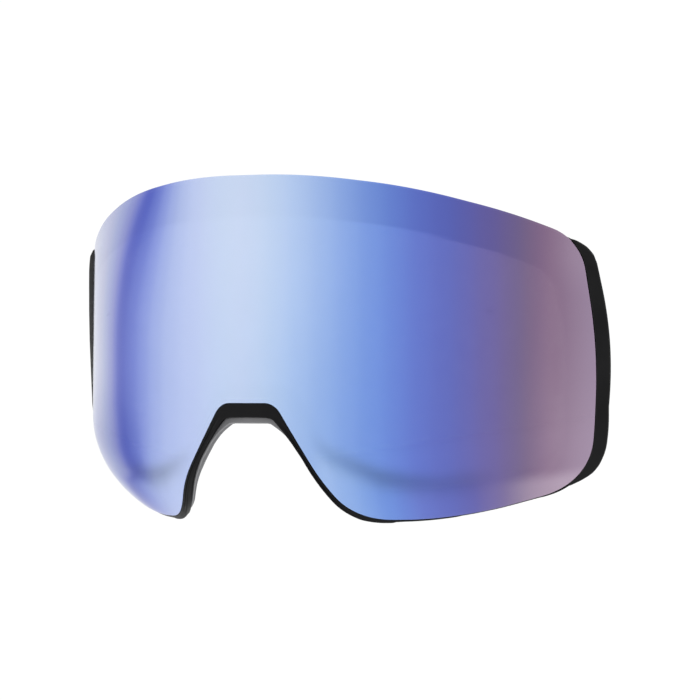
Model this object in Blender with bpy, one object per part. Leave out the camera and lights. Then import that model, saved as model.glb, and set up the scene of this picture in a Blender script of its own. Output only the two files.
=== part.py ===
"""Quick-change lens unit for ski goggles: a cylindrical mirror lens whose lower edge rolls inward, its
black carrier, foam-spaced inner lens, temple wings, magnets and two sprung release latches.

Metres, +Z up.  The lens faces -Y, the wearer is on +Y, and +X is on the right as seen from in front.
Shapes are laid out on the unrolled lens, where u runs along its width, v up its height and depth goes
from its front face towards the wearer, all in millimetres, and then wrapped onto the lens.
"""
import math

import bmesh
import bpy
import numpy as np
from mathutils import Matrix, Vector

MM = 0.001

# Lens surface: a cylinder whose lower edge rolls inward from a line that climbs towards the temples
LENS_RADIUS = 120.7
ROLL_START = -33.8
ROLL_CLIMB = 0.158
ROLL_RADIUS = 25.0

# Lens outline, right half, from the top centre round to the top of the nose arch:
# corner places (u, v) on the unrolled lens, and the radius that rounds each of them
CORNERS = (
    (0.0, 46.4, 0.0),
    (18.6, 46.4, 300.0),
    (49.3, 42.6, 300.0),
    (76.1, 35.6, 300.0),
    (94.6, 28.6, 14.0),
    (99.2, -0.5, 130.0),
    (97.5, -37.5, 19.0),
    (69.2, -46.5, 100.0),
    (52.7, -48.5, 100.0),
    (32.4, -47.1, 20.0),
    (9.4, -14.6, 6.3),
    (0.0, -14.6, 0.0),
)

# One width for each edge between two corners: four top, two side, three bottom, flank and arch
GLUE_BAND = (11.0,) * 4 + (8.0,) * 2 + (6.5,) * 3 + (5.0, 5.0)

# How far pieces stand beyond the lens's edge, and how deep the wings' outer edge and the step in the rim
# are, as (place, value) pairs.  A place counts the corners passed: corner 4 has the arc from 3.75 to 4.25.
RIM_REACH = ((6.25, -0.6), (7.0, 0.0), (7.6, 0.5), (8.6, 1.0), (9.2, 1.45), (9.5, 1.45), (9.6, 1.75),
             (9.75, 3.1), (10.0, 3.8), (10.25, 3.9), (11.0, 3.8))
RIM_STEP = ((9.3, 2.1), (9.5, 1.3))
SEAL_REACH = ((9.0, 1.8), (9.3, 2.0), (9.5, 1.8), (9.6, 2.1), (9.7, 3.15), (9.75, 4.9), (10.0, 5.4))
SEAL_START = 9.05
WING_REACH = ((3.9, 0.1), (3.95, 0.5), (4.1, 2.3), (4.25, 3.4), (4.5, 3.6), (5.8, 3.6), (5.95, 2.8),
              (6.05, 1.2), (6.12, 0.1))
WING_FRONT = ((4.0, 0.1), (4.1, -0.35), (4.25, -0.75), (4.5, -1.0), (4.8, -1.07), (4.9, -0.95),
              (5.15, 0.0), (5.5, 0.2))

# Layers, as depths behind the lens's front face
LENS_BACK = 1.3
TAPE = (1.9, 2.2)
CARRIER = (2.5, 4.0)
RIM_FRONT = 0.2
SEAL_BACK = 3.3
GASKET = (2.2, 5.4)
INNER_LENS = (6.0, 6.8)
WING_PLATE = (7.2, 8.7)

# How far across the glue band each ring reaches, from 0 at the lens's edge to 1 at the clear view
TAPE_SPAN = (0.24, 0.44)
CARRIER_INNER = 0.45
GASKET_SPAN = (0.53, 1.0)
INNER_LENS_EDGE = 0.57

# The gap round the lens's edge, the wall beside it, the gap kept between other pieces, and the carrier
# rim's least lips
EDGE_GAP = 0.4
RIM_WALL = 0.5
CLEARANCE = 0.3
LEAST_LIP = 0.1
BEVEL = 0.35
SPINE_V = 10.0
SPINE_REACH = 0.72

# Magnets: name, u, v, depth of the seat, radius
MAGNET_THICKNESS = 2.0
MAGNETS = (
    ("brow", 42.0, 40.7, 4.2, 2.1),
    ("upper_temple", 93.0, 19.5, 9.0, 2.6),
    ("lower_temple", 93.0, -25.5, 9.5, 2.6),
    ("nose", 3.6, -14.4, 4.2, 1.8),
)
VENT_PLACE = (60.0, 31.2)
VENT_RADIUS = 2.2
VENT_THICKNESS = 1.0

# Latch, in its own frame: x towards the temple, y towards the wearer, z along the pin
LATCH_U, LATCH_V = 96.2, -3.5
BRACKET_SEAT = 9.0
BRACKET_WIDTH = 6.0
BRACKET_PLATE = 1.2
LUG_INNER, LUG_OUTER = 9.0, 11.0
EAR_END = 16.0
SCREW_PLACE = 13.6
PIN_HEIGHT = 4.2
PIN_RADIUS = 0.7
PIN_BORE = 1.0
BARREL_RADIUS = 2.4
LEVER_BOTTOM, LEVER_TOP = -8.7, 4.6
ARM_FRONT, ARM_BACK = -1.0, 0.8
SPRING_TURNS = 4
SPRING_RADIUS = 1.6
SPRING_WIRE = 0.3
SPRING_BOTTOM, SPRING_TOP = 5.3, 8.3

# Mesh density; PER_EDGE is odd, so that one point is in the middle of the lens's side
PER_CORNER = 5
PER_EDGE = 1
LENS_RINGS = (0.0, 0.07, 0.16, 0.28, 0.45, 0.7, 1.0)
PANEL_RINGS = (0.0, 0.08, 0.2, 0.38, 0.64, 1.0)
ROUND_SIDES = 16


def clear_scene():
    for item in list(bpy.data.objects):
        bpy.data.objects.remove(item, do_unlink=True)


# ---------------------------------------------------------------- outline and surface

def rounded(corners, per_corner=PER_CORNER, per_edge=PER_EDGE):
    """Points along a line of corners, each rounded by an arc that leaves part of its edges straight."""
    places = [np.array(c[:2]) for c in corners]
    last = len(places) - 1
    lengths = [np.linalg.norm(places[i + 1] - places[i]) for i in range(last)]
    points = [places[0]]
    for i in range(1, last):
        back = (places[i - 1] - places[i]) / lengths[i - 1]
        ahead = (places[i + 1] - places[i]) / lengths[i]
        half_angle = 0.5 * math.acos(np.clip(back @ ahead, -1.0, 1.0))
        room_back = lengths[i - 1] * (0.9 if i == 1 else 0.45)
        room_ahead = lengths[i] * (0.9 if i == last - 1 else 0.45)
        tangent = min(corners[i][2] / math.tan(half_angle), room_back, room_ahead)
        radius = tangent * math.tan(half_angle)
        bisector = (back + ahead) / np.linalg.norm(back + ahead)
        centre = places[i] + bisector * radius / math.sin(half_angle)
        start = places[i] + back * tangent - centre
        end = places[i] + ahead * tangent - centre
        sweep = math.atan2(start[0] * end[1] - start[1] * end[0], start @ end)
        arc = []
        for k in range(per_corner):
            angle = sweep * k / (per_corner - 1)
            cos, sin = math.cos(angle), math.sin(angle)
            arc.append(centre + (start[0] * cos - start[1] * sin, start[0] * sin + start[1] * cos))
        points += straight(points[-1], arc[0], per_edge) + arc
    points += straight(points[-1], places[last], per_edge) + [places[last]]
    return np.array(points)


def straight(start, end, count):
    """Points strictly between two places."""
    return [start + (end - start) * (k + 1) / (count + 1) for k in range(count)]


def inset(corners, widths):
    """The corners moved in from the lens's edge, each edge by its own width; negative moves it out."""
    places = [np.array(c[:2]) for c in corners]
    lines = []
    for i, width in enumerate(widths):
        along = places[i + 1] - places[i]
        along = along / np.linalg.norm(along)
        inward = np.array((along[1], -along[0]))
        lines.append((places[i] + inward * width, along))
    moved = [(0.0, lines[0][0][1], 0.0)]
    for i in range(1, len(lines)):
        (a, da), (b, db) = lines[i - 1], lines[i]
        turn = da[0] * db[1] - da[1] * db[0]
        step = ((b - a)[0] * db[1] - (b - a)[1] * db[0]) / turn
        place = a + da * step
        width = 0.5 * (widths[i - 1] + widths[i])
        radius = corners[i][2] + (width if turn > 0.0 else -width)
        moved.append((place[0], place[1], max(radius, 2.2)))
    moved.append((0.0, lines[-1][0][1], 0.0))
    return tuple(moved)


def mirrored_loop(half):
    """A closed loop from its right half, which starts and ends on the centreline."""
    left = half[-2:0:-1] * np.array((-1.0, 1.0))
    return np.concatenate((half, left))


def mirrored_values(half):
    """One value for each point of a closed loop, from its right half."""
    return np.concatenate((half, half[-2:0:-1]))


def wrap(flat, depth):
    """Unrolled points (u, v), in mm, at a depth behind the lens's front face, as metres in space."""
    u, v = np.asarray(flat, float).T
    start = ROLL_START + ROLL_CLIMB * np.abs(u)
    bend = np.clip((start - v) / ROLL_RADIUS, 0.0, None)
    height = np.maximum(v, start) - ROLL_RADIUS * np.sin(bend) + depth * np.sin(bend)
    radial = LENS_RADIUS - ROLL_RADIUS * (1.0 - np.cos(bend)) - depth * np.cos(bend)
    angle = u / LENS_RADIUS
    across = radial * np.sin(angle)
    back = LENS_RADIUS - radial * np.cos(angle)
    return np.stack((across, back, height), axis=1) * MM


def seat_frame(u, v, depth):
    """A frame on the lens: x along its width, y towards the wearer, z up its height."""
    angle = u / LENS_RADIUS
    bend = max((ROLL_START + ROLL_CLIMB * abs(u) - v) / ROLL_RADIUS, 0.0)
    x_axis = Vector((math.cos(angle), math.sin(angle), 0.0))
    out = Vector((math.sin(angle), -math.cos(angle), 0.0))
    z_axis = Vector((0.0, 0.0, math.cos(bend))) + out * math.sin(bend)
    frame = Matrix((x_axis, z_axis.cross(x_axis), z_axis)).transposed().to_4x4()
    frame.translation = Vector(wrap(((u, v),), depth)[0])
    return frame


def corner_places():
    """How many corners have been passed at each point of a half outline."""
    known_at, known = [0], [0.0]
    for corner in range(1, len(CORNERS) - 1):
        start = 1 + PER_EDGE + (corner - 1) * (PER_CORNER + PER_EDGE)
        known_at += [start, start + PER_CORNER - 1]
        known += [corner - 0.25, corner + 0.25]
    last = known_at[-1] + PER_EDGE + 1
    return np.interp(np.arange(last + 1), known_at + [last], known + [len(CORNERS) - 1.0])


def value_along(pairs):
    """A value at each point of a half outline, from (place, value) pairs."""
    places, values = zip(*pairs)
    return np.interp(corner_places(), places, values)


# ---------------------------------------------------------------- solids

def finish_object(name, mesh, material, parent, smooth_angle=30.0):
    mesh.shade_smooth()
    mesh.set_sharp_from_angle(angle=math.radians(smooth_angle))
    mesh.materials.append(material)
    obj = bpy.data.objects.new(name, mesh)
    bpy.context.collection.objects.link(obj)
    obj.parent = parent
    return obj


def close_mesh(bm, name):
    bmesh.ops.remove_doubles(bm, verts=bm.verts, dist=1e-6)
    bmesh.ops.recalc_face_normals(bm, faces=bm.faces)
    mesh = bpy.data.meshes.new(name)
    bm.to_mesh(mesh)
    bm.free()
    return mesh


def add_loop(bm, points):
    return [bm.verts.new(point) for point in points]


def bridge(bm, first, second, closed=True):
    count = len(first)
    for i in range(count if closed else count - 1):
        j = (i + 1) % count
        bm.faces.new((first[i], first[j], second[j], second[i]))


def spine_of(half):
    """The line on the lens that its rings of faces close onto."""
    middle = 0.5 * (half[:, 0] + half[::-1, 0]) * SPINE_REACH
    return mirrored_loop(np.stack((middle, np.full(len(half), SPINE_V)), axis=1))


def lens_solid(name, half, front, back, rings, material, parent):
    """A sheet of even thickness that fills an outline, with its front edge bevelled."""
    edge = mirrored_loop(half)
    spine = spine_of(half)
    shrink = BEVEL / np.linalg.norm(edge - spine, axis=1)[:, None]
    bm = bmesh.new()
    sides = []
    for depth, pull in ((front, shrink), (back, 0.0 * shrink)):
        outer = edge + (spine - edge) * pull
        sides.append([add_loop(bm, wrap(outer + (spine - outer) * t, depth)) for t in rings])
    for loops in sides:
        for first, second in zip(loops, loops[1:]):
            bridge(bm, first, second)
    waist = add_loop(bm, wrap(edge, front + BEVEL))
    bridge(bm, sides[0][0], waist)
    bridge(bm, waist, sides[1][0])
    return finish_object(name, close_mesh(bm, name), material, parent)


def ring_solid(name, section, material, parent):
    """A closed ring from the loops at its section's corners, each a half outline and its depth."""
    bm = bmesh.new()
    loops = [add_loop(bm, wrap(mirrored_loop(half), depth)) for half, depth in section]
    for first, second in zip(loops, loops[1:] + loops[:1]):
        bridge(bm, first, second)
    return finish_object(name, close_mesh(bm, name), material, parent)


def strip_solid(name, section, material, parent):
    """An open strip with flat ends, from the lines at its section's corners, each with its depth."""
    bm = bmesh.new()
    lines = [add_loop(bm, wrap(flat, depth)) for flat, depth in section]
    for first, second in zip(lines, lines[1:] + lines[:1]):
        bridge(bm, first, second, closed=False)
    bm.faces.new([line[0] for line in lines])
    bm.faces.new([line[-1] for line in reversed(lines)])
    return finish_object(name, close_mesh(bm, name), material, parent)


def prism_mesh(name, outline, low, high, hole_radius=0.0):
    """An outline in x and y, in mm, raised along z, with a round hole at the origin if it has a radius."""
    bm = bmesh.new()
    loops = [outline]
    if hole_radius:
        loops.append(circle(hole_radius))
    edges = []
    for loop in loops:
        verts = add_loop(bm, [(x * MM, y * MM, low * MM) for x, y in loop])
        edges += [bm.edges.new((verts[i - 1], verts[i])) for i in range(len(verts))]
    faces = bmesh.ops.triangle_fill(bm, edges=edges, use_beauty=True)["geom"]
    faces = [item for item in faces if isinstance(item, bmesh.types.BMFace)]
    raised = bmesh.ops.extrude_face_region(bm, geom=faces)["geom"]
    raised = [item for item in raised if isinstance(item, bmesh.types.BMVert)]
    bmesh.ops.translate(bm, verts=raised, vec=(0.0, 0.0, (high - low) * MM))
    return close_mesh(bm, name)


def turned_mesh(name, profile):
    """A solid of revolution about z from (radius, z) pairs that start and end on the axis."""
    bm = bmesh.new()
    verts = [bm.verts.new((radius * MM, 0.0, z * MM)) for radius, z in profile]
    edges = [bm.edges.new(pair) for pair in zip(verts, verts[1:])]
    bmesh.ops.spin(bm, geom=verts + edges, cent=(0, 0, 0), axis=(0, 0, 1), angle=math.tau,
                   steps=ROUND_SIDES)
    return close_mesh(bm, name)


def circle(radius, count=ROUND_SIDES, start=0.0, sweep=math.tau):
    steps = count if sweep == math.tau else count - 1
    angles = [start + sweep * k / steps for k in range(count)]
    return [(radius * math.cos(a), radius * math.sin(a)) for a in angles]


def tube_mesh(name, path, radius, sides=5):
    """A round wire along points in mm, with flat ends."""
    path = [Vector(point) for point in path]
    bm = bmesh.new()
    loops = []
    for i, point in enumerate(path):
        along = (path[min(i + 1, len(path) - 1)] - path[max(i - 1, 0)]).normalized()
        out = Vector((0.0, 0.0, 1.0)).cross(along).normalized()
        up = along.cross(out)
        ring = [point + (out * x + up * y) * radius for x, y in circle(1.0, sides)]
        loops.append(add_loop(bm, [p * MM for p in ring]))
    for first, second in zip(loops, loops[1:]):
        bridge(bm, first, second)
    bm.faces.new(reversed(loops[0]))
    bm.faces.new(loops[-1])
    return close_mesh(bm, name)


def mirror_mesh(mesh, side):
    """Flip a mesh across its own x for the left-hand copy of a piece."""
    if side < 0:
        mesh.transform(Matrix.Diagonal((-1.0, 1.0, 1.0, 1.0)))
        mesh.flip_normals()
    return mesh


def plain_material(name, colour, roughness, metallic=0.0, alpha=1.0):
    material = bpy.data.materials.new(name)
    material.use_nodes = True
    shader = material.node_tree.nodes["Principled BSDF"]
    shader.inputs["Base Color"].default_value = (*colour, 1.0)
    shader.inputs["Roughness"].default_value = roughness
    shader.inputs["Metallic"].default_value = metallic
    shader.inputs["Alpha"].default_value = alpha
    return material


# ---------------------------------------------------------------- sub-parts

def blend(outer, inner, fraction):
    return outer + (inner - outer) * fraction


def box_section(outer, inner, depths):
    """The four corners of a flat ring's section."""
    return [(outer, depths[0]), (outer, depths[1]), (inner, depths[1]), (inner, depths[0])]


def make_carrier(edge, view, outward, material, parent):
    """A ring glued behind the lens, with a rim round the nose that comes forward beside its edge and is
    stepped behind for the nose seal."""
    inner = blend(edge, view, CARRIER_INNER)
    reach = value_along(RIM_REACH)
    rise = np.clip(reach / EDGE_GAP - 1.0, 0.0, 1.0)
    beside = np.minimum(EDGE_GAP, reach - RIM_WALL)
    wall = np.minimum(EDGE_GAP + RIM_WALL, reach - LEAST_LIP)
    front = blend(CARRIER[0] - 3 * LEAST_LIP, RIM_FRONT, rise)
    step = blend(CARRIER[1] - 2 * LEAST_LIP, value_along(RIM_STEP), rise)
    rim, beside, wall = (edge + outward * across[:, None] for across in (reach, beside, wall))
    section = [(rim, mirrored_values(front)), (rim, mirrored_values(step)), (wall, mirrored_values(step)),
               (wall, CARRIER[1]), (inner, CARRIER[1]), (inner, CARRIER[0]),
               (beside, CARRIER[0]), (beside, mirrored_values(front))]
    return ring_solid("carrier_frame", section, material, parent)


def make_wing(side, edge, view, outward, material, parent):
    """A temple trim round the lens's side: a flange beside its edge, a plate behind it, and ends that
    thin out and tuck in behind the lens."""
    places = corner_places()
    stations = (places >= WING_REACH[0][0]) & (places <= WING_REACH[-1][0])
    reach = value_along(WING_REACH)
    beside = np.minimum(EDGE_GAP, reach - RIM_WALL)
    emerged = np.clip((reach - RIM_WALL) / EDGE_GAP, 0.0, 1.0)
    tucked = LENS_BACK + 2 * CLEARANCE
    front = blend(tucked, value_along(WING_FRONT), emerged)[stations]
    flange = blend(tucked, CLEARANCE, emerged)[stations]
    outer, beside = ((edge + outward * across[:, None])[stations] for across in (reach, beside))
    inner = view[stations]
    corners = [(beside, flange), (outer, front), (outer, WING_PLATE[1]),
               (inner, WING_PLATE[1]), (inner, WING_PLATE[0]), (beside, WING_PLATE[0])]
    section = [(flat * np.array((side, 1.0)), depth) for flat, depth in corners]
    name = "wing_" + side_name(side)
    return strip_solid(name, section, material, parent)


def make_nose_seal(edge, outward, material, parent):
    """A soft lip in the carrier's step that stands into the nose opening."""
    stations = corner_places() >= SEAL_START
    start = EDGE_GAP + RIM_WALL + CLEARANCE
    front = mirrored_arch(value_along(RIM_STEP)[stations] + CLEARANCE)
    outer = mirrored_arch((edge + outward * value_along(SEAL_REACH)[:, None])[stations])
    inner = mirrored_arch((edge + outward * start)[stations])
    section = [(outer, front), (outer, SEAL_BACK), (inner, SEAL_BACK), (inner, front)]
    return strip_solid("nose_seal", section, material, parent)


def mirrored_arch(half):
    """Points or values from the right lobe over the nose arch to the left one."""
    flip = np.array((-1.0, 1.0)) if half.ndim == 2 else 1.0
    return np.concatenate((half, half[-2::-1] * flip))


def side_name(side):
    return "right" if side > 0 else "left"


def make_magnets(material, parent):
    """Thin discs glued behind the carrier, the wings and the inner lens's edge."""
    half_turn = Matrix.Rotation(-math.pi / 2, 4, "X")
    for place, u, v, seat, radius in MAGNETS:
        chamfer = 0.25
        profile = [(0.0, 0.0), (radius, 0.0), (radius, MAGNET_THICKNESS - chamfer),
                   (radius - chamfer, MAGNET_THICKNESS), (0.0, MAGNET_THICKNESS)]
        mesh = turned_mesh(place + "_magnet", profile)
        mesh.transform(half_turn)
        for side in (1, -1):
            name = place + "_magnet_" + side_name(side)
            obj = finish_object(name, mesh.copy(), material, parent)
            obj.matrix_local = seat_frame(side * u, v, seat)


def make_vent_filter(material, parent):
    """A breather disc on the back of the inner lens."""
    profile = [(0.0, 0.0), (VENT_RADIUS, 0.0), (VENT_RADIUS - 0.3, VENT_THICKNESS),
               (0.0, VENT_THICKNESS)]
    mesh = turned_mesh("vent_filter", profile)
    mesh.transform(Matrix.Rotation(-math.pi / 2, 4, "X"))
    obj = finish_object("vent_filter", mesh, material, parent)
    obj.matrix_local = seat_frame(*VENT_PLACE, INNER_LENS[1] + CLEARANCE)


def lever_outline():
    """The lever seen along its pin: a barrel, a thumb pad on one side and a hook on the other."""
    front_angle = math.asin(ARM_FRONT / BARREL_RADIUS)
    back_angle = math.asin(ARM_BACK / BARREL_RADIUS)
    under = circle(BARREL_RADIUS, 7, math.pi - front_angle, math.pi + 2 * front_angle)
    over = circle(BARREL_RADIUS, 7, back_angle, math.pi - 2 * back_angle)
    pad = [(5.4, ARM_FRONT), (5.9, -0.3), (6.2, 6.0), (5.6, 6.6), (4.8, 6.2), (4.2, ARM_BACK)]
    hook = [(-4.6, ARM_BACK), (-4.8, 3.6), (-3.2, 4.0), (-3.0, 4.8), (-5.6, 5.4), (-6.4, 4.8),
            (-6.4, -0.4), (-5.8, ARM_FRONT)]
    return under + pad + over + hook


def spring_path():
    """A coil round the pin with a short straight leg at each end."""
    per_turn = 10
    turns = SPRING_TURNS * per_turn
    coil = []
    for k in range(turns + 1):
        angle = math.tau * k / per_turn
        height = SPRING_BOTTOM + (SPRING_TOP - SPRING_BOTTOM) * k / turns
        coil.append((SPRING_RADIUS * math.cos(angle), SPRING_RADIUS * math.sin(angle), height))
    first_leg = (SPRING_RADIUS, -3.0, SPRING_BOTTOM)
    last_leg = (SPRING_RADIUS, 2.8, SPRING_TOP)
    return [first_leg] + coil + [last_leg]


def bracket_mesh(name):
    """A channel with a lug at each end of the pin and a screw ear beyond each lug, before its holes."""
    top = PIN_HEIGHT + 2.2
    outline = [(-EAR_END, 0.0), (EAR_END, 0.0), (EAR_END, BRACKET_PLATE), (LUG_OUTER, BRACKET_PLATE),
               (LUG_OUTER, top), (LUG_INNER, top), (LUG_INNER, BRACKET_PLATE),
               (-LUG_INNER, BRACKET_PLATE), (-LUG_INNER, top), (-LUG_OUTER, top),
               (-LUG_OUTER, BRACKET_PLATE), (-EAR_END, BRACKET_PLATE)]
    mesh = prism_mesh(name, outline, -0.5 * BRACKET_WIDTH, 0.5 * BRACKET_WIDTH)
    upright = Matrix(((0, 0, 1, 0), (0, 1, 0, -PIN_HEIGHT * MM), (1, 0, 0, 0), (0, 0, 0, 1)))
    mesh.transform(upright)
    mesh.flip_normals()
    return mesh


def cut_round(target, name, radius, length, frame, parent):
    """Bore a round hole through an object, along the frame's z."""
    mesh = turned_mesh(name, [(0.0, -length), (radius, -length), (radius, length), (0.0, length)])
    mesh.transform(frame)
    cutter = bpy.data.objects.new(name, mesh)
    bpy.context.collection.objects.link(cutter)
    cutter.parent = parent
    cutter.hide_render = True
    cutter.display_type = "WIRE"
    boolean = target.modifiers.new(name, "BOOLEAN")
    boolean.operation = "DIFFERENCE"
    boolean.object = cutter


def screw_mesh(name, along_y):
    """A pan-head screw whose shank passes through the bracket's ear."""
    profile = [(0.0, -1.1), (0.75, -1.1), (0.75, 0.3), (1.5, 0.3), (1.5, 0.9), (1.1, 1.3), (0.0, 1.3)]
    mesh = turned_mesh(name, profile)
    mesh.transform(along_y)
    return mesh


def make_latch(side, materials, root):
    """Bracket, screws, pin, spring and lever on the wing's back, round an empty on the pin's axis."""
    label = side_name(side)
    axis = bpy.data.objects.new("latch_axis_" + label, None)
    bpy.context.collection.objects.link(axis)
    axis.parent = root
    axis.matrix_local = seat_frame(side * LATCH_U, LATCH_V, BRACKET_SEAT + PIN_HEIGHT)

    name = "latch_bracket_" + label
    bracket = finish_object(name, bracket_mesh(name), materials["bracket"], axis)
    cut_round(bracket, "pin_bore_" + label, PIN_BORE, 14.0, Matrix.Identity(4), axis)
    along_y = Matrix.Rotation(-math.pi / 2, 4, "X")
    for level, sign in (("upper", 1), ("lower", -1)):
        name = "latch_screw_" + level + "_" + label
        place = Matrix.Translation((0.0, (BRACKET_PLATE - PIN_HEIGHT) * MM, sign * SCREW_PLACE * MM))
        cut_round(bracket, "screw_hole_" + level + "_" + label, 1.05, 3.0, place @ along_y, axis)
        mesh = screw_mesh(name, place @ along_y)
        finish_object(name, mesh, materials["steel"], axis)

    reach = LUG_OUTER + 0.5
    pin = turned_mesh("latch_pin", [(0.0, -reach), (PIN_RADIUS, -reach), (PIN_RADIUS, reach), (0.0, reach)])
    finish_object("latch_pin_" + label, pin, materials["steel"], axis)
    spring = mirror_mesh(tube_mesh("latch_spring", spring_path(), SPRING_WIRE), side)
    finish_object("latch_spring_" + label, spring, materials["steel"], axis, smooth_angle=80.0)
    lever = prism_mesh("latch_lever", lever_outline(), LEVER_BOTTOM, LEVER_TOP, PIN_BORE)
    finish_object("latch_lever_" + label, mirror_mesh(lever, side), materials["lever"], axis)


def centre_on_origin(root):
    """Move the whole unit so that its bounding box is centred on the origin."""
    bpy.context.view_layer.update()
    corners = []
    for obj in bpy.data.objects:
        if obj.type == "MESH" and not obj.hide_render:
            corners += [obj.matrix_world @ vertex.co for vertex in obj.data.vertices]
    low = Vector([min(c[k] for c in corners) for k in range(3)])
    high = Vector([max(c[k] for c in corners) for k in range(3)])
    root.location = -0.5 * (low + high)
    bpy.context.view_layer.update()


def main():
    clear_scene()
    root = bpy.data.objects.new("lens_unit", None)
    bpy.context.collection.objects.link(root)

    black = plain_material("satin_black_plastic", (0.018, 0.018, 0.021), 0.42)
    steel = plain_material("bright_steel", (0.62, 0.63, 0.65), 0.25, metallic=1.0)
    materials = {
        "bracket": plain_material("bracket_black", (0.03, 0.03, 0.033), 0.55),
        "lever": plain_material("lever_grey", (0.09, 0.09, 0.1), 0.5),
        "steel": steel,
    }

    edge = rounded(CORNERS)
    view = rounded(inset(CORNERS, GLUE_BAND))
    outward = (edge - view) / np.linalg.norm(edge - view, axis=1)[:, None]

    mirror = plain_material("blue_mirror_lens", (0.24, 0.32, 0.75), 0.06, metallic=0.6, alpha=0.9)
    lens_solid("outer_lens", edge, 0.0, LENS_BACK, LENS_RINGS, mirror, root)
    clear = plain_material("clear_inner_lens", (0.7, 0.66, 0.74), 0.05, alpha=0.35)
    panel = blend(edge, view, INNER_LENS_EDGE)
    lens_solid("inner_lens", panel, *INNER_LENS, PANEL_RINGS, clear, root)

    tape_outer, tape_inner = (blend(edge, view, t) for t in TAPE_SPAN)
    tape = plain_material("black_bond_tape", (0.03, 0.03, 0.03), 0.8)
    ring_solid("lens_bond_tape", box_section(tape_outer, tape_inner, TAPE), tape, root)
    foam_outer, foam_inner = (blend(edge, view, t) for t in GASKET_SPAN)
    foam = plain_material("grey_foam", (0.12, 0.12, 0.13), 0.95)
    ring_solid("spacer_gasket", box_section(foam_outer, foam_inner, GASKET), foam, root)
    make_carrier(edge, view, outward, black, root)
    for side in (1, -1):
        make_wing(side, edge, view, outward, black, root)
    make_nose_seal(edge, outward, plain_material("grey_lip", (0.2, 0.2, 0.22), 0.6), root)

    make_magnets(steel, root)
    make_vent_filter(plain_material("filter_white", (0.75, 0.75, 0.74), 0.9), root)
    for side in (1, -1):
        make_latch(side, materials, root)
    centre_on_origin(root)


main()
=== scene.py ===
"""Looks for the ski goggles lens unit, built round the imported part: a blue mirror lens with its black
carrier, temple wings, nose lip, foam-spaced inner lens, magnets and sprung latches.

As in the part, shapes are laid out in millimetres on the unrolled lens, where u runs along its width, v
up its height and depth goes from its front face towards the wearer, and are then wrapped onto it.
Left and right are as seen from in front.
"""

import math

import bmesh
import bpy
import numpy as np
from mathutils import Matrix, Vector


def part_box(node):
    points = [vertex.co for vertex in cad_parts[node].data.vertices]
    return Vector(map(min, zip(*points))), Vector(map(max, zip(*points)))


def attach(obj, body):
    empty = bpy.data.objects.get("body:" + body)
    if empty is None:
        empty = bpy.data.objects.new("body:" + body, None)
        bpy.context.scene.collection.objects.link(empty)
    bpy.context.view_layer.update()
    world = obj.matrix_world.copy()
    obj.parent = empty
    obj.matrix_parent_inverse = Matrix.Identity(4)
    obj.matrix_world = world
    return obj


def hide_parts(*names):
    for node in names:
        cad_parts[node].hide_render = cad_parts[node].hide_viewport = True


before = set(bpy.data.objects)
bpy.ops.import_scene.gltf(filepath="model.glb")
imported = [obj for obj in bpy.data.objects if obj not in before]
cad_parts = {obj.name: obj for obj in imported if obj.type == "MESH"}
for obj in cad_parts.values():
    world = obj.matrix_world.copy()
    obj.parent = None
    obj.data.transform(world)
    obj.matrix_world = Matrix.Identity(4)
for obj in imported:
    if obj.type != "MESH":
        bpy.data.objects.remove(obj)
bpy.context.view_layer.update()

MM = 0.001

# Lens surface and the right half of its outline, as in the part; a corner is its u, v and radius
LENS_RADIUS = 120.7
ROLL_START = -33.8
ROLL_CLIMB = 0.158
ROLL_RADIUS = 25.0
CORNERS = (
    (0.0, 46.4, 0.0), (18.6, 46.4, 300.0), (49.3, 42.6, 300.0), (76.1, 35.6, 300.0),
    (94.6, 28.6, 14.0), (99.2, -0.5, 130.0), (97.5, -37.5, 19.0), (69.2, -46.5, 100.0),
    (52.7, -48.5, 100.0), (32.4, -47.1, 20.0), (9.4, -14.6, 6.3), (0.0, -14.6, 0.0),
)
# How much of an edge the arc at its end may take up
ARC_SHARE = 0.45
# How far inside each edge of the outline the clear view starts, and the least radius of its corners
GLUE_BAND = (11.0,) * 4 + (8.0,) * 2 + (6.5,) * 3 + (5.0, 5.0)
VIEW_LEAST_RADIUS = 2.2
# The corner where the clear view is rounder than the lens's edge, and by how much
UPPER_TEMPLE, VIEW_EASE = 4, 6.0
# The line that the lens's rings close onto: its v, and its length as a share of the lens's width
SPINE_V = 10.0
SPINE_REACH = 0.72

# How far pieces stand beyond the lens's edge, how deep the wings' outer edge and the step in the rim are,
# and how deeply the rim is grooved, as (place, value) pairs.  A place counts the corners passed.
RIM_REACH = ((6.0, -0.5), (6.03, 0.3), (6.07, 0.85), (6.14, 0.8), (6.22, 0.6), (6.3, 0.4), (7.0, 0.32),
             (7.6, 0.6), (8.6, 1.1), (8.8, 1.6), (9.0, 2.25), (9.2, 2.0),
             (9.5, 1.45), (9.6, 1.75), (9.7, 2.45), (9.75, 3.1), (10.0, 3.8), (10.25, 3.9), (11.0, 3.8))
RIM_STEP = ((9.3, 2.2), (9.5, 1.4))
RIM_GROOVE = ((9.0, 0.0), (9.3, 0.25), (9.6, 0.25), (9.8, 0.0))
SEAL_REACH = ((9.05, 1.8), (9.2, 2.3), (9.3, 2.3), (9.5, 1.9), (9.6, 2.2), (9.65, 2.7), (9.7, 3.6),
              (9.75, 5.0), (10.0, 5.4))
SEAL_START = 9.05
GROOVE_SHARES = (0.42, 0.52, 0.62)
WING_REACH = ((3.9, 0.1), (3.95, 0.5), (4.0, 1.15), (4.1, 2.4), (4.2, 3.4), (4.3, 3.8), (4.6, 3.8),
              (5.8, 3.9), (5.9, 3.75), (5.95, 3.4), (6.0, 2.5), (6.05, 1.6), (6.12, 0.4), (6.15, 0.1))
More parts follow.
